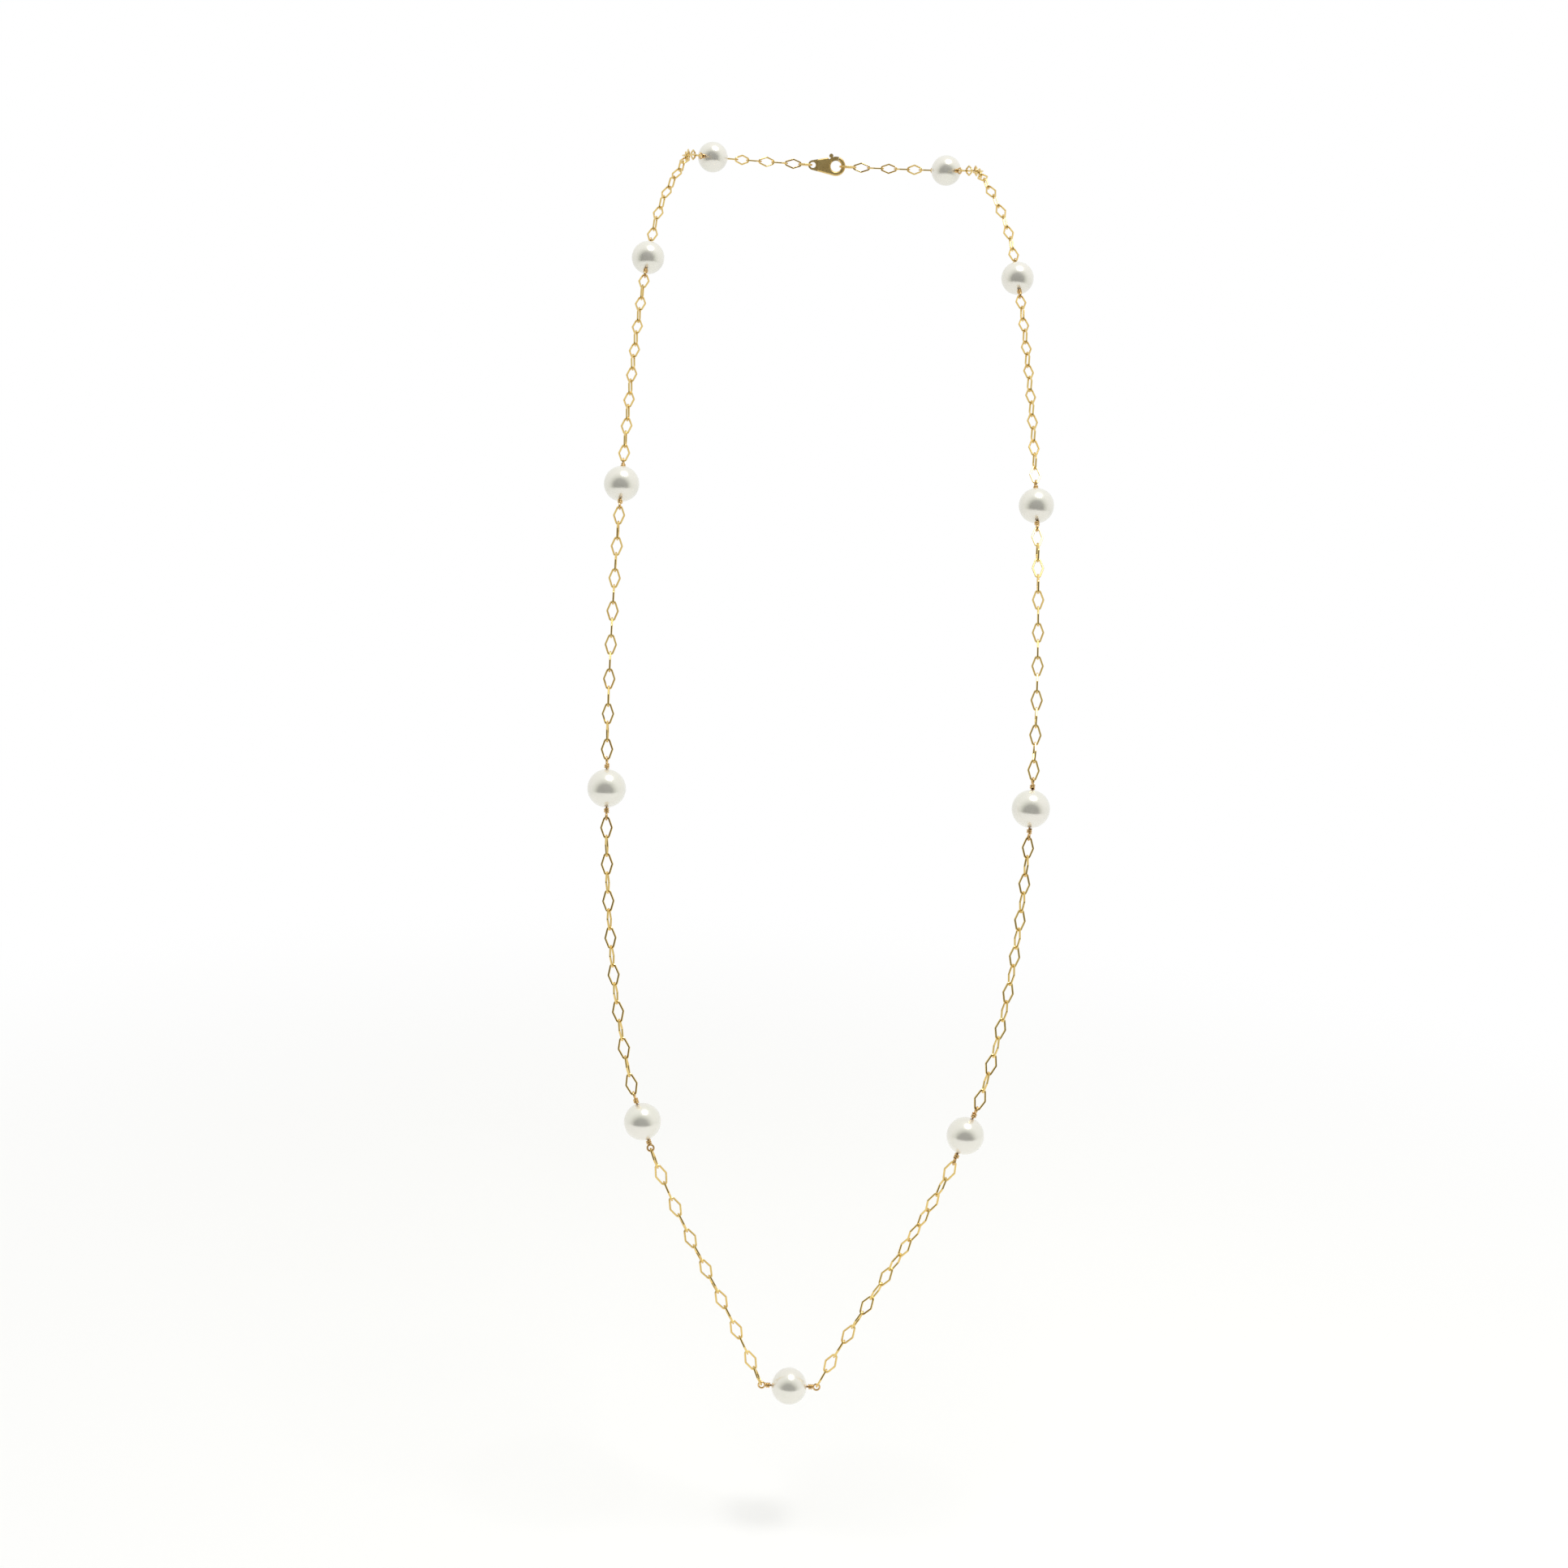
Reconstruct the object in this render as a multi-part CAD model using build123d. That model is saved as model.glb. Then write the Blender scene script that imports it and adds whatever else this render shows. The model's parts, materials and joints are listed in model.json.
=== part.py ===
from build123d import *
import os
from math import acos, cos, degrees, pi, radians, sin, sqrt

# A long station necklace as it lies when worn: single pearls on wrapped wires, joined by runs of
# diamond links, and closed at the nape by a lobster clasp. Millimetres, +Z up, the front towards -Y,
# the origin at the nape, in the middle of the clasp. Stations and links are numbered from the clasp
# down the -X side, across the bottom and up the +X side.

# ---- pearls
PEARL_DIAMETERS = [8.0, 8.0, 8.1, 8.4, 8.1, 8.1, 8.2, 8.4, 8.1, 8.0, 8.0]
BORE_CLEARANCE = 0.07           # radial, so that a pearl turns on its wire
PEARL_END_PLAY = 0.10           # between a pearl and the wrap at each end

# ---- station wires
WIRE_DIAMETER = 0.42
WRAP_TURNS = 3
WRAP_SINK = 0.03                # how far a wrap's turns press into the core, and its solder between them
WRAP_END_GROOVE = 0.06          # from a wrap's end to its solder
EYE_INNER_DIAMETER = 0.98

# ---- diamond links
LINK_PITCH = 4.0
LINK_WIDTH = 2.75
LINK_WIRE = 0.40                # width and thickness of the flat-sided link wire
LINK_BEVEL = 0.10
LINK_TIP_RADIUS = 0.58          # to the middle of the wire
LINK_CORNER_RADIUS = 0.35       # to the middle of the wire
LINK_PLAY = 0.13                # between two linked wires, pulled apart
LINKS_PER_RUN = 15
LINKS_BESIDE_CLASP = 6

# ---- lobster clasp, lying along X in the XZ plane, its claw towards +X
CLAW_OUTER_RADIUS = 2.6
CLAW_INNER_RADIUS = 1.5
CLASP_LENGTH = 10.3
CLASP_THICKNESS = 1.8
CLASP_ROUNDING = 0.4
TAIL_RADIUS = 1.3
TAIL_HOLE_RADIUS = 0.8
TAIL_THICKNESS = 1.0
MOUTH_START, MOUTH_END = 75, 138    # degrees round the claw, from its nose to its back
MOUTH_GAP = 2                       # degrees, between the lever's tip and the claw's nose
LEVER_THICKNESS = 0.8
LEVER_GAP = 0.05                # between the lever and the body, all round
LEVER_TRAVEL = 22               # degrees, opening inwards
LEVER_ARM_END = 158             # degrees round the claw, where the arm meets its hub
PIVOT_X, PIVOT_Z = -2.7, 0.8
PIVOT_HUB_RADIUS = 0.85
PIN_DIAMETER = 0.6
PIN_CLEARANCE = 0.03
HEEL_LENGTH = 1.7               # from the pivot towards the tail
HEEL_HEIGHT = 0.45
HEEL_DROP = 0.3                 # below the pivot
KNOB_X, KNOB_Z = -1.45, 2.75
KNOB_RADIUS = 0.55
POCKET_LENGTH = 2.45            # from the pivot towards the tail
POCKET_HEIGHT = 1.2
SPRING_THICKNESS = 0.12
SPRING_GAP = 0.03               # between the spring and the lever's heel
SPRING_LENGTH = 1.35
SPRING_FOOT = 0.6               # up the end of the pocket

# ---- rings at the clasp
JUMP_RING_DIAMETER = 4.0        # outer
JUMP_RING_WIRE = 0.5
CATCH_RING_DIAMETER = 4.8
CATCH_RING_WIRE = 0.5
RING_REST_GAP = 0.12            # between a ring and what it hooks into

# ---- the drape of one side, from the loop of the lowest pearl up and round to the nape.
# The points follow the pearls over the chest and shoulder, then the side and back of the neck.
DRAPE = [
    (-5.9, -185.3, -269.8),
    (-34.8, -185.0, -210.0),
    (-45.9, -165.7, -141.1),
    (-46.8, -129.3, -78.0),
    (-44.8, -77.6, -27.4),
    (-41.8, -61.5, -12.4),
    (-37.8, -49.5, -3.6),
    (-37.0, -36.0, -1.0),
    (-34.2, -22.8, -0.5),
    (-26.2, -10.8, -0.2),
    (-14.2, -2.8, 0.0),
    (0.0, 0.0, 0.0),
]
NAPE_DIRECTION = Vector(1, -1, 0).normalized()      # of the same curve past the nape, on the +X side
DRAPE_SAMPLES = 500
HANG_DIRECTION = Vector(-0.42, 0.0, 0.91).normalized()     # of the chain where it leaves the lowest eye

# Roll about the chain of each full run's first and last link, 0 with the link's face to the front,
# and how far the run twists further at its middle. All in degrees.
RUN_ROLLS = [(0, 0), (0, 0), (0, 0), (0, 0), (90, 90), (76, 0), (0, 0), (0, 0), (0, 0), (0, 0)]
RUN_TWISTS = [12, 10, -8, 12, -20, 12, 16, -14, 10, -12]

# ---- derived
PEARLS = len(PEARL_DIAMETERS)
MIDDLE = PEARLS // 2
EYE_RADIUS = (EYE_INNER_DIAMETER + WIRE_DIAMETER) / 2
WRAP_LENGTH = WRAP_TURNS * WIRE_DIAMETER
WRAP_RADIUS = WIRE_DIAMETER - WRAP_SINK       # to the middle of a wrap's wire
LINK_REACH = (LINK_WIRE + LINK_PLAY) / 2      # from a joint point to the middle of a link's tip
EYE_REACH = (WIRE_DIAMETER + LINK_PLAY) / 2   # from a joint point to the middle of an eye's wire
LINK_HALF = LINK_PITCH / 2 + LINK_REACH       # from a link's centre to the middle of its tip
SLOT_WIDTH = LEVER_THICKNESS + 2 * LEVER_GAP
LEVER_STEPS = 8                               # places of the lever that shape its pocket


# ---- pearls and their wires
def wrap_start(number):
    """Distance from a pearl's centre to the near end of its wrap."""
    return PEARL_DIAMETERS[number - 1] / 2 + PEARL_END_PLAY


def station_half(number):
    """Distance from a pearl's centre to the joint point in its eye."""
    return eye_centre(number) + EYE_RADIUS - EYE_REACH


def eye_centre(number):
    """Distance from a pearl's centre to the centre of its eye."""
    return wrap_start(number) + WRAP_LENGTH + EYE_RADIUS


def pearl(number):
    """A pearl round the Z axis, drilled through for its wire."""
    diameter = PEARL_DIAMETERS[number - 1]
    bore = Cylinder(WIRE_DIAMETER / 2 + BORE_CLEARANCE, 2 * diameter)
    return (Sphere(diameter / 2) - bore).solids()[0]


def station_wire(number, start_roll, end_roll):
    """The wire of one station along Z: a core through the pearl, and a wrap and an eye at each end.

    An eye's roll is that of the link in it, so its plane stands square to that link's face.
    """
    wrap_middle = wrap_start(number) + WRAP_LENGTH / 2
    solder_length = WRAP_LENGTH - 2 * WRAP_END_GROOVE
    core_length = 2 * (wrap_middle + solder_length / 2)
    section = Rectangle(WIRE_DIAMETER / 2, core_length, align=(Align.MIN, Align.CENTER))
    for side in (-1, 1):
        solder = Rectangle(WRAP_RADIUS + WRAP_SINK, solder_length, align=(Align.MIN, Align.CENTER))
        section += Pos(0, side * wrap_middle) * solder
        for turn in range(WRAP_TURNS):
            height = wrap_start(number) + (turn + 0.5) * WIRE_DIAMETER
            section += Pos(WRAP_RADIUS, side * height) * Circle(WIRE_DIAMETER / 2)
    wire = revolve(Plane.XZ * section, Axis.Z)
    wrap_end = wrap_start(number) + WRAP_LENGTH
    for side, roll in ((-1, start_roll), (1, end_roll)):
        ring = Rot(0, 0, roll) * Rot(0, 90, 0) * Torus(EYE_RADIUS, WIRE_DIAMETER / 2)
        wire += Pos(0, 0, side * (wrap_end + EYE_RADIUS)) * ring
    return wire.solids()[0]


# ---- links
def rhombus(grown):
    """The link's rounded rhombus in the XY plane, long in Y, grown from the middle of its wire."""
    tip = LINK_HALF - LINK_TIP_RADIUS
    corner = (LINK_WIDTH - LINK_WIRE) / 2 - LINK_CORNER_RADIUS
    circles = [Pos(0, side * tip) * Circle(LINK_TIP_RADIUS + grown) for side in (-1, 1)]
    circles += [Pos(side * corner, 0) * Circle(LINK_CORNER_RADIUS + grown) for side in (-1, 1)]
    return make_hull(Sketch(children=circles).edges())


def link():
    """One link with its length along Z and its face in the XZ plane."""
    ring = rhombus(LINK_WIRE / 2) - rhombus(-LINK_WIRE / 2)
    solid = extrude(Plane.XZ * ring, LINK_WIRE / 2, both=True)
    flats = solid.faces().sort_by(Axis.Y)
    return chamfer(flats[0].edges() + flats[-1].edges(), LINK_BEVEL).solids()[0]


# ---- the clasp
def claw_sector(inner, outer, start, end):
    """Part of a ring round the claw's centre in the XY plane, between two angles."""
    reach = 2 * outer
    steps = [start + (end - start) * n / 4 for n in range(5)]
    wedge = [(0, 0)] + [(reach * cos(radians(a)), reach * sin(radians(a))) for a in steps]
    return (Circle(outer) - Circle(inner)) & Polygon(*wedge, align=None)


def plate(sketch, thickness):
    """A sketch drawn in X and Z, as a plate about the XZ plane."""
    upright = Plane(origin=(0, 0, 0), x_dir=(1, 0, 0), z_dir=(0, -1, 0))
    return extrude(upright * sketch, thickness / 2, both=True)


def tail_x():
    return CLAW_OUTER_RADIUS + TAIL_RADIUS - CLASP_LENGTH


def lever_sketch(gap=0.0):
    """The lever's outline: an arm that closes the claw, a hub, a heel and a thumb knob."""
    arm = claw_sector(CLAW_INNER_RADIUS - gap, CLAW_OUTER_RADIUS + gap, MOUTH_START, LEVER_ARM_END)
    hub = Pos(PIVOT_X, PIVOT_Z) * Circle(PIVOT_HUB_RADIUS + gap)
    heel = Rectangle(HEEL_LENGTH + gap, HEEL_HEIGHT + 2 * gap, align=(Align.MAX, Align.CENTER))
    heel = Pos(PIVOT_X, PIVOT_Z - HEEL_DROP) * heel
    knob = Pos(KNOB_X, KNOB_Z) * Circle(KNOB_RADIUS + gap)
    return arm + hub + heel + knob


def clasp_body():
    """The clasp's teardrop body, open at the mouth and slotted for the lever and its spring."""
    outline = make_hull((Circle(CLAW_OUTER_RADIUS) + Pos(tail_x(), 0) * Circle(TAIL_RADIUS)).edges())
    body = plate(outline, CLASP_THICKNESS)
    flats = body.faces().sort_by(Axis.Y)
    body = fillet(flats[0].edges() + flats[-1].edges(), CLASP_ROUNDING)
    tail_edge = tail_x() + TAIL_RADIUS
    for side in (-1, 1):
        tool = Box(CLASP_LENGTH, 2, 2 * CLAW_OUTER_RADIUS, align=(Align.MAX, Align.CENTER, Align.CENTER))
        body -= Pos(tail_edge, side * (TAIL_THICKNESS / 2 + 1), 0) * tool
    claw_hole = plate(Circle(CLAW_INNER_RADIUS), 2 * CLASP_THICKNESS)
    body -= claw_hole
    rims = body.edges().filter_by(GeomType.CIRCLE).filter_by(
        lambda e: abs(e.radius - CLAW_INNER_RADIUS) < 1e-6
    )
    body = fillet(rims, CLASP_ROUNDING)
    body -= Pos(tail_x(), 0, 0) * plate(Circle(TAIL_HOLE_RADIUS), 2 * CLASP_THICKNESS)
    nose = MOUTH_START - MOUTH_GAP
    mouth = claw_sector(0.5 * CLAW_INNER_RADIUS, 2 * CLAW_OUTER_RADIUS, nose, MOUTH_END)
    body -= plate(mouth, 2 * CLASP_THICKNESS)
    pocket = Rectangle(POCKET_LENGTH, POCKET_HEIGHT, align=(Align.MAX, Align.CENTER))
    pocket = Pos(PIVOT_X, PIVOT_Z) * pocket
    for step in range(LEVER_STEPS + 1):
        angle = LEVER_TRAVEL * step / LEVER_STEPS
        turned = Pos(PIVOT_X, PIVOT_Z) * Rot(0, 0, -angle) * Pos(-PIVOT_X, -PIVOT_Z)
        pocket += turned * lever_sketch(LEVER_GAP)
    body -= plate(pocket, SLOT_WIDTH)
    body -= Pos(PIVOT_X, 0, PIVOT_Z) * plate(Circle(PIN_DIAMETER / 2), 2 * CLASP_THICKNESS)
    return body.solids().sort_by(SortBy.VOLUME)[-1]


def clasp_lever():
    bored = lever_sketch() - Pos(PIVOT_X, PIVOT_Z) * Circle(PIN_DIAMETER / 2 + PIN_CLEARANCE)
    return plate(bored, LEVER_THICKNESS).solids()[0]


def clasp_pin():
    return (Pos(PIVOT_X, 0, PIVOT_Z) * plate(Circle(PIN_DIAMETER / 2), CLASP_THICKNESS)).solids()[0]


def clasp_spring():
    """A leaf held in the end of the pocket, resting on the lever's heel."""
    corner = Pos(PIVOT_X - POCKET_LENGTH, PIVOT_Z - HEEL_DROP + HEEL_HEIGHT / 2 + SPRING_GAP)
    leaf = Rectangle(SPRING_LENGTH, SPRING_THICKNESS, align=(Align.MIN, Align.MIN))
    foot = Rectangle(SPRING_THICKNESS, SPRING_FOOT, align=(Align.MIN, Align.MIN))
    return plate(corner * (leaf + foot), LEVER_THICKNESS).solids()[0]


def jump_ring_x():
    """The jump ring's centre, hanging in the tail's hole and pulled away from the claw."""
    radius = (JUMP_RING_DIAMETER - JUMP_RING_WIRE) / 2
    sag = radius - sqrt(radius**2 - (TAIL_THICKNESS / 2) ** 2)
    return tail_x() - (TAIL_HOLE_RADIUS - JUMP_RING_WIRE / 2 - RING_REST_GAP - sag) - radius


def catch_ring_x():
    """The catch ring's centre, hooked in the claw and pulled away from the tail."""
    radius = (CATCH_RING_DIAMETER - CATCH_RING_WIRE) / 2
    return CLAW_INNER_RADIUS - CATCH_RING_WIRE / 2 - RING_REST_GAP + radius


def flat_ring(outer_diameter, wire):
    """A ring of round wire lying in the XY plane."""
    return Torus((outer_diameter - wire) / 2, wire / 2)


def clasp_ends():
    """The joint points at the two rings, as places along X in the clasp's own frame."""
    left = jump_ring_x() - (JUMP_RING_DIAMETER / 2 - JUMP_RING_WIRE) + LINK_PLAY / 2
    right = catch_ring_x() + (CATCH_RING_DIAMETER / 2 - CATCH_RING_WIRE) - LINK_PLAY / 2
    return left, right


# ---- the drape
def walk(line, steps):
    """Points along a line of close points, each exactly one step further, straight, than the last."""
    at, place, found = 0, line[0], [line[0]]
    for step in steps:
        while (line[at + 1] - place).length < step:
            at += 1
            if at + 2 >= len(line):
                line = line + [line[-1] + (line[-1] - line[-2])]
        start, along = line[at] - place, line[at + 1] - line[at]
        a, b, c = along.dot(along), start.dot(along), start.dot(start) - step**2
        place = line[at] + along * ((-b + sqrt(b * b - a * c)) / a)
        found.append(place)
    return found


def side_steps():
    """The lengths between joint points up one side, from the lowest pearl's eye to the clasp."""
    steps = [LINK_PITCH] * LINKS_PER_RUN
    for number in range(MIDDLE, 0, -1):
        links = LINKS_PER_RUN if number > 1 else LINKS_BESIDE_CLASP
        steps += [2 * station_half(number)] + [LINK_PITCH] * links
    return steps


def drape_side():
    """The joint points up the -X side. The drape is scaled so that the necklace just closes."""
    past_nape = [(-x, y, z) for x, y, z in DRAPE[-2:-4:-1]]
    curve = Spline(*DRAPE, *past_nape, tangents=[HANG_DIRECTION, NAPE_DIRECTION])
    samples = [curve.position_at(n / DRAPE_SAMPLES) for n in range(DRAPE_SAMPLES + 1)]
    left, right = clasp_ends()
    half_clasp = (right - left) / 2
    start = Vector(-eye_centre(MIDDLE + 1), 0, 0) + HANG_DIRECTION * (EYE_RADIUS - EYE_REACH)
    small, large = 0.8, 1.25
    while large - small > 1e-9:
        scale = (small + large) / 2
        points = walk([start + (s - samples[0]) * scale for s in samples], side_steps())
        if points[-1].X > -half_clasp:
            small = scale
        else:
            large = scale
    nape = Vector(0, points[-1].Y, points[-1].Z)
    return [p - nape for p in points]


def across(points):
    """For each stretch between points, the sideways direction, carried along without twist."""
    sideways, found = Vector(1, 0, 0), []
    for low, high in zip(points, points[1:]):
        along = (high - low).normalized()
        sideways = (sideways - along * sideways.dot(along)).normalized()
        found.append(sideways)
    return found


def mirrored(vector):
    return Vector(-vector.X, vector.Y, vector.Z)


def placed(shape, start, end, sideways, roll=0):
    """A shape made along Z about its middle, put between two points and rolled about its length."""
    plane = Plane(origin=(start + end) / 2, x_dir=sideways, z_dir=end - start)
    return plane.location * Rot(0, 0, roll) * shape


def run_name(number):
    """The node of the run below station number on the -X side, or above it on the +X side."""
    if number == 0:
        return "chain_clasp_01"
    if number == PEARLS:
        return f"chain_{PEARLS:02}_catch"
    return f"chain_{number:02}_{number + 1:02}"


def run_links(number, one_link, points, sideways):
    """The links of one run between its joint points, each turned a quarter from the last.

    The quarter turns are counted from the clasp's ring, or from the run's lower end.
    """
    first, last, twist = 90, 90, 0
    if 0 < number < PEARLS:
        (first, last), twist = RUN_ROLLS[number - 1], RUN_TWISTS[number - 1]
    counted_from_end = 0 < number <= MIDDLE or number == PEARLS
    start = 1 - len(sideways) if counted_from_end else 0
    links = []
    for n, across_link in enumerate(sideways):
        share = n / (len(sideways) - 1)
        roll = 90 * (start + n) + first + (last - first) * share + twist * sin(pi * share)
        links.append(placed(one_link, points[n], points[n + 1], across_link, roll))
    return Compound(links)


def eye_rolls(station):
    """The rolls of a station's two eyes, those of the links they hold."""
    beside_clasp = 90 * LINKS_BESIDE_CLASP
    upper_turn = 90 * (LINKS_PER_RUN - 1)
    if station == MIDDLE + 1:
        return 90, 90
    if station <= MIDDLE:
        start = RUN_ROLLS[station - 2][1] if station > 1 else beside_clasp
        return start, RUN_ROLLS[station - 1][0] + upper_turn
    end = RUN_ROLLS[station - 1][0] if station < PEARLS else beside_clasp
    return RUN_ROLLS[station - 2][1] + upper_turn, end


def build():
    """All nodes by name, and the joint points from the clasp round to the clasp."""
    nodes, one_link = {}, link()
    left_points = drape_side()
    left_across = across(left_points)
    chain = left_points[::-1] + [mirrored(p) for p in left_points]
    sides = left_across[::-1] + [Vector(0, 0, 1)] + [mirrored(v) for v in left_across]
    at = 0
    for number in range(PEARLS + 1):
        count = LINKS_PER_RUN if 0 < number < PEARLS else LINKS_BESIDE_CLASP
        stop = at + count
        nodes[run_name(number)] = run_links(number, one_link, chain[at : stop + 1], sides[at:stop])
        if number == PEARLS:
            break
        station = number + 1
        start, end = chain[stop], chain[stop + 1]
        if station == MIDDLE + 1:
            hook = HANG_DIRECTION * (EYE_RADIUS - EYE_REACH)
            start, end = start - hook, end - mirrored(hook)
        wire = station_wire(station, *eye_rolls(station))
        nodes[f"wire_{station:02}"] = placed(wire, start, end, sides[stop])
        nodes[f"pearl_{station:02}"] = placed(pearl(station), start, end, sides[stop])
        at = stop + 1
    shift = Pos(-sum(clasp_ends()) / 2, 0, 0)
    jump_ring = flat_ring(JUMP_RING_DIAMETER, JUMP_RING_WIRE)
    catch_ring = flat_ring(CATCH_RING_DIAMETER, CATCH_RING_WIRE)
    nodes["clasp_body"] = shift * clasp_body()
    nodes["clasp_lever"] = shift * clasp_lever()
    nodes["clasp_pin"] = shift * clasp_pin()
    nodes["clasp_spring"] = shift * clasp_spring()
    nodes["jump_ring"] = shift * Pos(jump_ring_x(), 0, 0) * jump_ring
    nodes["catch_ring"] = shift * Pos(catch_ring_x(), 0, 0) * catch_ring
    return nodes, chain


parts, joint_points = build()
os.makedirs("parts", exist_ok=True)
for name, shape in parts.items():
    export_step(shape, f"parts/{name}.step")

closed_length = sum((b - a).length for a, b in zip(joint_points, joint_points[1:]))
closed_length += (joint_points[0] - joint_points[-1]).length
print(f"{len(parts)} nodes, {closed_length:.1f} mm round the necklace")
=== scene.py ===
import json
import math

import bmesh
import bpy
from mathutils import Matrix, Vector, noise


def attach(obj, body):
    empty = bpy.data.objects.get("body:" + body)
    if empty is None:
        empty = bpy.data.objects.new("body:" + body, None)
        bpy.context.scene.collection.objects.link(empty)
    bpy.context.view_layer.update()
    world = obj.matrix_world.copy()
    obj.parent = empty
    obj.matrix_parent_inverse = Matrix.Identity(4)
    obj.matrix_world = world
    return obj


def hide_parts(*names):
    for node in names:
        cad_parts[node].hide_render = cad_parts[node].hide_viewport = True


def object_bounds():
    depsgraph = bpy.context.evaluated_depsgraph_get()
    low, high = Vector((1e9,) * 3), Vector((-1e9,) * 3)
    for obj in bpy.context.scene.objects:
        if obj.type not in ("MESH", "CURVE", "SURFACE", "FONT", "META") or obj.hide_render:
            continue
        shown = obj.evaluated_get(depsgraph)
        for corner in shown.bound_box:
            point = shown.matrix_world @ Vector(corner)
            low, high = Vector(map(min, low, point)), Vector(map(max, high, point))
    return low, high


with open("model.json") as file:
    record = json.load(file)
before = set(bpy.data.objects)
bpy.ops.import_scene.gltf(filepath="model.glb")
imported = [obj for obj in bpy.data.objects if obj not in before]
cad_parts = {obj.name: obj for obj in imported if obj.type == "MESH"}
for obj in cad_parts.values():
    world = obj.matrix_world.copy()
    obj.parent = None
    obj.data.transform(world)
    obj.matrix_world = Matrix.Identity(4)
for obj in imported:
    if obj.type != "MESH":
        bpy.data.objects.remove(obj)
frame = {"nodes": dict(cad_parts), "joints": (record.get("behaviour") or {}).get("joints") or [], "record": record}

cad_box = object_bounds()
MM = 0.001


# ---------------------------------------------------------------------------------------------
# Pearls. Cultured pearls of creamy white nacre, never quite round, drilled through along the
# chain. Each is threaded on its station's wire and is free to turn on it.

PEARL_HOLE = 0.28 * MM          # radius of the drilled hole
PEARL_CREAM = (0.82, 0.81, 0.73, 1)
PEARL_GREEN = (0.70, 0.73, 0.62, 1)
PEARL_ROSE = (0.87, 0.82, 0.77, 1)
PEARL_RIM = 0.05 * MM           # rounding of the hole's edge
PEARL_SWELL = 0.010             # share of the width by which a pearl swells and dips
PEARL_BUMP_SCALE = 150          # of those swells, per metre
PEARL_TAPER = 0.012             # how much wider one end is than the other
PEARL_DROP = {"06": 0.05}       # how much narrower towards the top than a ball
ROUND_FACING = Vector((0.3, 0.2, 0.9))      # which way the X of a round piece looks
BLACK, WHITE = (0, 0, 0, 1), (1, 1, 1, 1)


class Tone:
    """A number on its way through a material. Arithmetic on it adds the Math nodes it needs."""

    def __init__(self, finish, socket):
        self.finish, self.socket = finish, socket

    def sum(self, operation, *others):
        values = dict(enumerate([self, *others]))
        return self.finish.node("ShaderNodeMath", {"operation": operation}, values)

    def __add__(self, other):
        return self.sum("ADD", other)

    def __mul__(self, other):
        return self.sum("MULTIPLY", other)

    def __sub__(self, other):
        return self.sum("SUBTRACT", other)

    def __rsub__(self, other):
        return self.sum("MULTIPLY_ADD", -1, other)

    __radd__ = __add__
    __rmul__ = __mul__


class Finish:
    """A material or world under way, with a shader to feed."""

    def __init__(self, owner, shader="Principled BSDF", **constants):
        self.material = owner
        owner.use_nodes = True
        self.tree = owner.node_tree
        self.shader = self.tree.nodes[shader]
        for label, value in constants.items():
            self.shader.inputs[label.replace("_", " ")].default_value = value

    def node(self, kind, settings=None, values=None, output=0):
        """Adds a node, with its settings first, then the values or links of its sockets."""
        made = self.tree.nodes.new(kind)
        for label, value in (settings or {}).items():
            if label == "stops":
                ramp = made.color_ramp
                while len(ramp.elements) < len(value):
                    ramp.elements.new(1)
                for element, (place, colour) in zip(ramp.elements, value):
                    element.position, element.color = place, colour
            else:
                setattr(made, label, value)
        for label, value in (values or {}).items():
            self.feed(made.inputs[label], value)
        return Tone(self, made.outputs[output])

    def feed(self, socket, value):
        if isinstance(value, Tone):
            self.tree.links.new(value.socket, socket)
        else:
            socket.default_value = value

    def noise(self, scale, detail=2.0, roughness=0.5, where=None):
        values = {"Scale": scale, "Detail": detail, "Roughness": roughness}
        values["Vector"] = where or self.node("ShaderNodeTexCoord", output=3)
        return self.node("ShaderNodeTexNoise", {}, values)

    def mix(self, share, first, second):
        """A colour between two."""
        settings = {"data_type": "RGBA"}
        return self.node("ShaderNodeMix", settings, {0: share, 6: first, 7: second}, output=2)

    def ramp(self, share, *stops):
        return self.node("ShaderNodeValToRGB", {"stops": stops}, {"Fac": share})

    def bump(self, height, depth, strength=1.0):
        values = {"Height": height, "Distance": depth, "Strength": strength}
        return self.node("ShaderNodeBump", {}, values)

    def set(self, **links):
        for label, value in links.items():
            self.feed(self.shader.inputs[label.replace("_", " ")], value)
        return self.material


def nacre():
    """Layered nacre: a cream body with rose and green overtones, growth marks and a deep gloss."""
    pearl = Finish(
        bpy.data.materials.new("nacre"), Coat_Weight=0.9, Coat_Roughness=0.12, Coat_IOR=1.8,
        Sheen_Weight=0.15, Sheen_Roughness=0.4,
    )
    clouds = pearl.noise(190, 2.0, 0.5)
    patches = pearl.noise(420, 3.0, 0.6)
    rings = pearl.noise(2600, 4.0, 0.7)
    body = pearl.mix(clouds * 1.1 - 0.2, PEARL_CREAM, PEARL_ROSE)
    body = pearl.mix(patches * 0.5 - 0.12, body, PEARL_GREEN)
    pits = pearl.ramp(pearl.noise(1500, 1.0, 0.5), (0.0, BLACK), (0.27, BLACK), (0.33, WHITE))
    skin = pearl.bump(patches + 0.03 * rings + 0.05 * pits, 0.04 * MM, 0.3)
    return pearl.set(
        Base_Color=body, Metallic=0.50 + 0.1 * clouds, Roughness=0.20 + 0.05 * rings, Normal=skin
    )


def frame_along(centre, along, facing):
    """The matrix that puts a shape made along Z at a centre, with its X turned to a direction."""
    along = Vector(along).normalized()
    facing = Vector(facing)
    facing = (facing - along * facing.dot(along)).normalized()
    turned = Matrix((facing, along.cross(facing), along)).transposed().to_4x4()
    return Matrix.Translation(centre) @ turned


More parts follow.
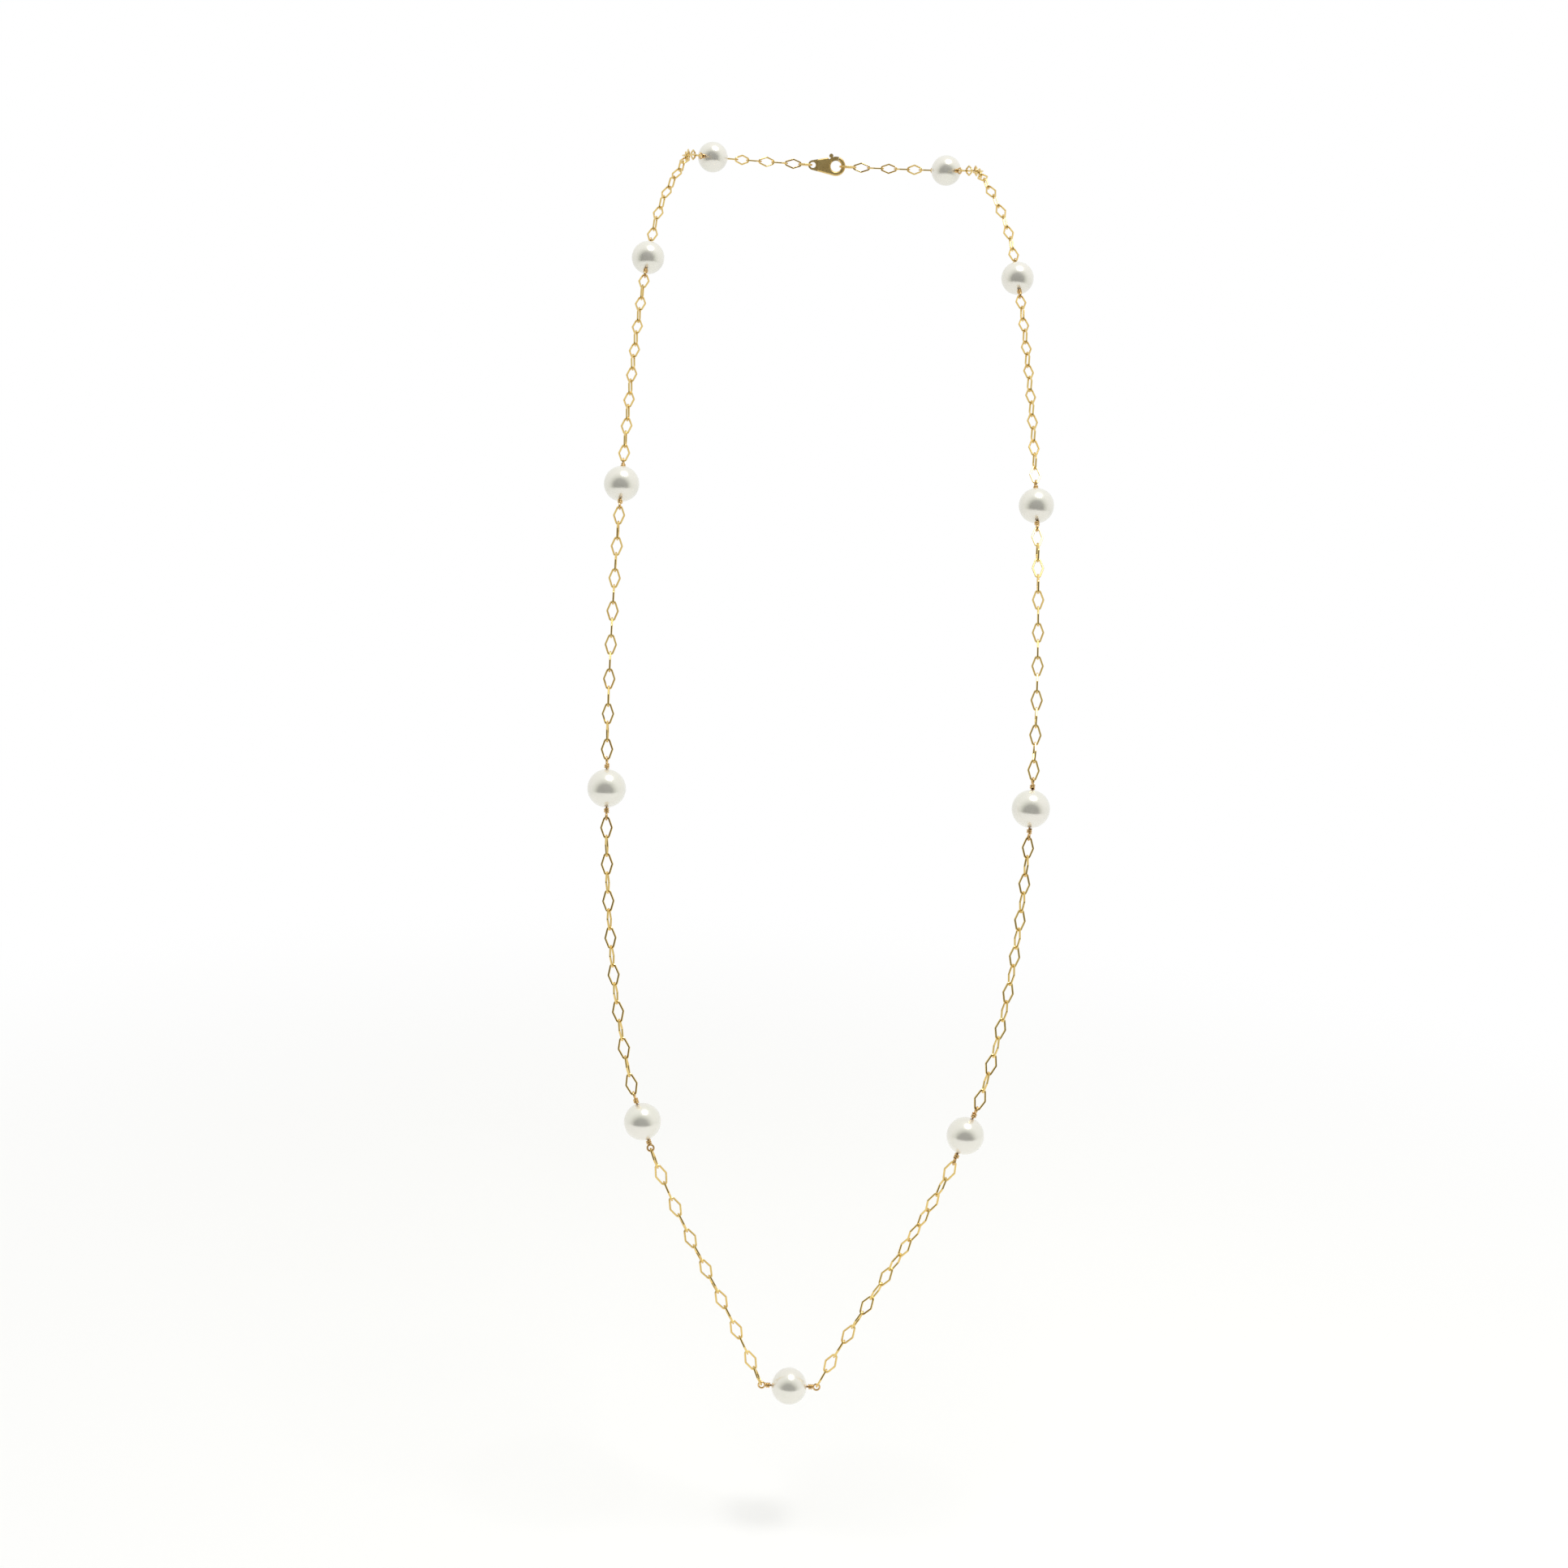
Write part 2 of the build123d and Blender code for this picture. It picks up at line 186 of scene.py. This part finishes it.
def finished(name, shape, finish, body, node):
    """Makes a piece of a shape, gives it its finish, and hands it to its CAD body."""
    mesh = bpy.data.meshes.new(name)
    shape.to_mesh(mesh)
    shape.free()
    for polygon in mesh.polygons:
        polygon.use_smooth = True
    mesh.materials.append(finish)
    piece = bpy.data.objects.new(name, mesh)
    bpy.context.scene.collection.objects.link(piece)
    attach(piece, body)
    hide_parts(node)
    return piece


def drilled_pearl(place, width, length, seed, drop):
    """A ball cut flat and joined through at its two holes, then made a little uneven."""
    shape = bmesh.new()
    bmesh.ops.create_uvsphere(shape, u_segments=56, v_segments=40, radius=1)
    bmesh.ops.scale(shape, vec=(width / 2, width / 2, length / 2), verts=shape.verts)
    mouth = length / 2 * math.sqrt(1 - (2 * PEARL_HOLE / width) ** 2)
    for end in (-1, 1):
        whole = shape.verts[:] + shape.edges[:] + shape.faces[:]
        bmesh.ops.bisect_plane(
            shape, geom=whole, plane_co=(0, 0, end * mouth), plane_no=(0, 0, end), clear_outer=True
        )
    rims = [e for e in shape.edges if e.is_boundary]
    bmesh.ops.bridge_loops(shape, edges=rims)
    rims = [e for e in rims if e.is_valid]
    bmesh.ops.bevel(
        shape, geom=rims, offset=PEARL_RIM, segments=2, profile=0.5, affect="EDGES", material=-1
    )
    for vert in shape.verts:
        swell = noise.noise(vert.co * PEARL_BUMP_SCALE + Vector((seed * 7.3, seed * 1.9, 0)))
        taper = PEARL_TAPER * vert.co.z / length
        vert.co.xy *= 1 + PEARL_SWELL * swell + taper
        vert.co.yz *= 1 - drop * (1 + 2 * vert.co.x / width) / 2
    bmesh.ops.recalc_face_normals(shape, faces=shape.faces)
    bmesh.ops.transform(shape, matrix=place, verts=shape.verts)
    return shape


pearl_finish = nacre()
stations = {}
for joint in frame["joints"]:
    if joint["name"].startswith("pearl_"):
        node = joint["child"]
        number = node[-2:]
        cad_pearl = frame["nodes"][node].data.vertices
        centre, along = Vector(joint["pos_m"]), Vector(joint["axis"])
        reach = [(v.co - centre).dot(along) for v in cad_pearl]
        across = [((v.co - centre) - along * (v.co - centre).dot(along)).length for v in cad_pearl]
        width, length = 2 * max(across), 2 * max(reach)
        stations[number] = (centre, along, length)
        place = frame_along(centre, along, ROUND_FACING)
        shape = drilled_pearl(place, width, length, int(number), PEARL_DROP.get(number, 0))
        finished(f"nacre_{number}", shape, pearl_finish, node, node)


# ---------------------------------------------------------------------------------------------
# Station wires. Warm reddish gold wire, run through the pearl, bent into an eye at each end and
# wound back three turns round its own neck, which keeps the eye shut and the pearl in its place.

WIRE = 0.42 * MM
WRAP_RADIUS = 0.39 * MM         # to the middle of the wound wire
WRAP_TURNS = 3
WRAP_CLEARANCE = 0.10 * MM      # from the pearl to its wrap
WRAP_LAP = 0.25                 # how far the last turn runs on, in turns
EYE_RADIUS = 0.70 * MM          # to the middle of the eye's wire
WIRE_LIGHT, WIRE_DEEP = (0.78, 0.55, 0.25, 1), (0.58, 0.37, 0.16, 1)
WIRE_GRAIN, WIRE_GLOSS = 3000, 0.16         # drawing marks per metre, and roughness


def polished_gold(name, light, deep, grain, gloss):
    """Polished gold with fine drawing or buffing marks and a slightly uneven tone."""
    gold = Finish(bpy.data.materials.new(name), Metallic=1.0)
    clouds = gold.noise(260, 2.0, 0.5)
    marks = gold.noise(grain, 3.0, 0.65)
    tone = gold.mix(clouds * 1.4 - 0.2, light, deep)
    surface = gold.bump(marks, 0.02 * MM, 0.2)
    return gold.set(Base_Color=tone, Roughness=gloss + 0.12 * marks, Normal=surface)


def ring_of_wire(shape, middle, radius, wire, normal, sides=10, steps=32):
    """A closed ring of round wire about a centre, added to a shape."""
    normal = Vector(normal).normalized()
    out = normal.orthogonal().normalized()
    section = Matrix((normal, out, out.cross(normal))).transposed().to_4x4()
    section = Matrix.Translation(Vector(middle) + out * radius) @ section
    made = bmesh.ops.create_circle(shape, segments=sides, radius=wire / 2, matrix=section)
    ring = list({e for v in made["verts"] for e in v.link_edges})
    bmesh.ops.spin(
        shape, geom=ring, cent=middle, axis=normal, angle=2 * math.pi, steps=steps, use_merge=True
    )


def wound_wire(shape, start, radius, wire, turns, side, sides=10, steps=16):
    """A close coil of round wire about Z from a height, with its cut ends closed."""
    section = Matrix.Translation((radius, 0, start)) @ Matrix.Rotation(math.pi / 2, 4, "X")
    made = bmesh.ops.create_circle(shape, segments=sides, radius=wire / 2, matrix=section)
    ring = list({e for v in made["verts"] for e in v.link_edges})
    bmesh.ops.spin(
        shape, geom=ring, cent=(0, 0, 0), axis=(0, 0, 1), angle=2 * math.pi * turns,
        dvec=(0, 0, side * wire / steps), steps=int(steps * turns),
    )
    bmesh.ops.holes_fill(shape, edges=[e for e in shape.edges if e.is_boundary], sides=sides)


def eye_normal(node, centre, along, end, beyond):
    """The way that an eye faces, read from the far part of its CAD wire."""
    tip = [v.co - centre for v in frame["nodes"][node].data.vertices]
    tip = [p - along * p.dot(along) for p in tip if end * p.dot(along) > beyond]
    widest = max(tip, key=lambda p: p.length)
    return along.cross(widest)


def wrapped_wire(node, centre, along, length):
    """A straight core with a coil and an eye at each end."""
    wrap_start = length / 2 + WRAP_CLEARANCE
    wrap_end = wrap_start + WRAP_TURNS * WIRE
    shape = bmesh.new()
    bmesh.ops.create_cone(
        shape, cap_ends=True, segments=12, radius1=WIRE / 2, radius2=WIRE / 2, depth=2 * wrap_end
    )
    for end in (-1, 1):
        turns = WRAP_TURNS - 1 + WRAP_LAP
        wound_wire(shape, end * (wrap_start + WIRE / 2), WRAP_RADIUS, WIRE, turns, end)
    place = frame_along(centre, along, ROUND_FACING)
    bmesh.ops.transform(shape, matrix=place, verts=shape.verts)
    for end in (-1, 1):
        normal = eye_normal(node, centre, along, end, wrap_end + EYE_RADIUS * 0.8)
        middle = centre + along * end * (wrap_end + EYE_RADIUS)
        ring_of_wire(shape, middle, EYE_RADIUS, WIRE, normal)
    bmesh.ops.recalc_face_normals(shape, faces=shape.faces)
    return shape


wire_finish = polished_gold("wire_gold", WIRE_LIGHT, WIRE_DEEP, WIRE_GRAIN, WIRE_GLOSS)
wire_body = {}
for body, nodes in frame["record"]["behaviour"]["bodies"].items():
    wire_body.update({node: body for node in nodes if node.startswith("wire_")})
for number, (centre, along, length) in stations.items():
    node = f"wire_{number}"
    shape = wrapped_wire(node, centre, along, length)
    finished(f"wrapped_{number}", shape, wire_finish, wire_body[node], node)


# ---------------------------------------------------------------------------------------------
# Links. Yellow gold wire with flat polished sides, bent to a long diamond and soldered shut. Each
# link passes through the next and stands a quarter turn from it.

LINK_LIGHT, LINK_DEEP = (0.88, 0.68, 0.27, 1), (0.74, 0.51, 0.17, 1)
LINK_GRAIN, LINK_GLOSS = 2400, 0.10

link_finish = polished_gold("link_gold", LINK_LIGHT, LINK_DEEP, LINK_GRAIN, LINK_GLOSS)
for node in frame["nodes"]:
    if node.startswith("chain_"):
        frame["nodes"][node].material_slots[0].material = link_finish


# ---------------------------------------------------------------------------------------------
# Clasp. A cast and tumbled lobster clasp in yellow gold: a claw with a pinned lever, which a leaf
# spring in the body holds shut. A soldered jump ring joins it to one end of the chain, and its claw
# takes the catch ring at the other end.

CLASP_LIGHT, CLASP_DEEP = (0.88, 0.68, 0.30, 1), (0.74, 0.52, 0.20, 1)
CLASP_GRAIN, CLASP_GLOSS = 1500, 0.42       # coarser and duller, from the tumbling

clasp_finish = polished_gold("clasp_gold", CLASP_LIGHT, CLASP_DEEP, CLASP_GRAIN, CLASP_GLOSS)
for node in ("clasp_body", "clasp_lever", "clasp_pin", "clasp_spring", "jump_ring", "catch_ring"):
    frame["nodes"][node].material_slots[0].material = clasp_finish


# ---------------------------------------------------------------------------------------------
# Studio. A round of pale floor that runs out into a white backdrop, one soft lamp overhead, and a
# white room with an unlit side, which gives the gold and the pearls something dark to show.

FLOOR_DROP = 0.03               # below the lowest pearl
FLOOR_RADIUS = 0.60
FLOOR_FADE = (0.10, 0.45)       # distances over which the floor turns to the backdrop's white
FLOOR_PAINT = (0.90, 0.90, 0.89, 1)
ROOM_LIGHT = (0.78, 0.78, 0.77, 1)          # what the room sheds on matt surfaces
ROOM_LIT, ROOM_PALE = (0.90, 0.90, 0.88, 1), (0.72, 0.73, 0.68, 1)
ROOM_SHADE, ROOM_DARK = (0.38, 0.39, 0.34, 1), (0.07, 0.07, 0.06, 1)
DARK_SIDE = Vector((-0.10, -0.97, -0.15)).normalized()      # the unlit side of the studio
LAMP_PLACE = Vector((0.18, -0.36, 0.90))
LAMP_AIM = Vector((0, -0.1, -0.13))
LAMP_SIZE, LAMP_POWER = 0.50, 5.5

floor_shape = bmesh.new()
bmesh.ops.create_circle(floor_shape, cap_ends=True, segments=96, radius=FLOOR_RADIUS)
floor_mesh = bpy.data.meshes.new("floor")
middle = (Vector(cad_box[0]) + Vector(cad_box[1])) / 2
under = Vector((middle.x, middle.y, cad_box[0][2] - FLOOR_DROP))
bmesh.ops.translate(floor_shape, vec=under, verts=floor_shape.verts)
floor_shape.to_mesh(floor_mesh)
floor = bpy.data.objects.new("floor", floor_mesh)
bpy.context.scene.collection.objects.link(floor)
paint = Finish(bpy.data.materials.new("floor_paint"), Roughness=0.8, Base_Color=FLOOR_PAINT)
where = paint.node("ShaderNodeTexCoord", output=3)
reach = paint.node(
    "ShaderNodeVectorMath", {"operation": "DISTANCE"}, {0: where, 1: under}, output=1
)
limits = {"From Min": FLOOR_FADE[0], "From Max": FLOOR_FADE[1]}
fade = paint.node(
    "ShaderNodeMapRange", {"interpolation_type": "SMOOTHSTEP"}, {"Value": reach, **limits}
)
white = paint.node("ShaderNodeEmission")
lit = Tone(paint, paint.shader.outputs[0])
looked_at = paint.node("ShaderNodeLightPath")
blend = paint.node("ShaderNodeMixShader", {}, {0: fade * looked_at, 1: lit, 2: white})
paint.feed(paint.tree.nodes["Material Output"].inputs["Surface"], blend)
floor_mesh.materials.append(paint.material)

world = bpy.data.worlds.new("studio")
bpy.context.scene.world = world
studio = Finish(world, "Background")
facing = studio.node("ShaderNodeTexCoord", output=0)
toward = studio.node(
    "ShaderNodeVectorMath", {"operation": "DOT_PRODUCT"}, {0: facing, 1: DARK_SIDE}, output=1
)
room = studio.ramp(
    toward, (0.0, ROOM_LIT), (0.35, ROOM_PALE), (0.60, ROOM_SHADE), (0.72, ROOM_DARK)
)
seen = studio.node("ShaderNodeLightPath")
diffuse = Tone(studio, seen.socket.node.outputs["Is Diffuse Ray"])
lighting = studio.mix(diffuse, room, ROOM_LIGHT)
studio.set(Color=studio.mix(seen, lighting, WHITE))

lamp = bpy.data.objects.new("overhead", bpy.data.lights.new("overhead", "AREA"))
lamp.data.shape, lamp.data.size, lamp.data.energy = "DISK", LAMP_SIZE, LAMP_POWER
lamp.location = LAMP_PLACE
lamp.rotation_euler = (LAMP_AIM - LAMP_PLACE).to_track_quat("-Z", "Y").to_euler()
bpy.context.scene.collection.objects.link(lamp)

EYE = Vector((-0.02426, -0.66336, -0.03550))
YAW, PITCH, ROLL = 0.0329, 0.2072, 0.0557       # in radians
SENSOR, LENS = 36, 53.34                        # in millimetres
look = Vector((math.sin(YAW) * math.cos(PITCH), math.cos(YAW) * math.cos(PITCH), -math.sin(PITCH)))
right = look.cross(Vector((0, 0, 1))).normalized()
up = right.cross(look)
level = Matrix((right, up, -look)).transposed()
camera = bpy.data.objects.new("camera", bpy.data.cameras.new("camera"))
camera.matrix_world = Matrix.Translation(EYE) @ (level @ Matrix.Rotation(ROLL, 3, "Z")).to_4x4()
camera.data.sensor_width, camera.data.lens = SENSOR, LENS
bpy.context.scene.collection.objects.link(camera)
bpy.context.scene.camera = camera
bpy.context.scene.view_settings.view_transform = "Standard"
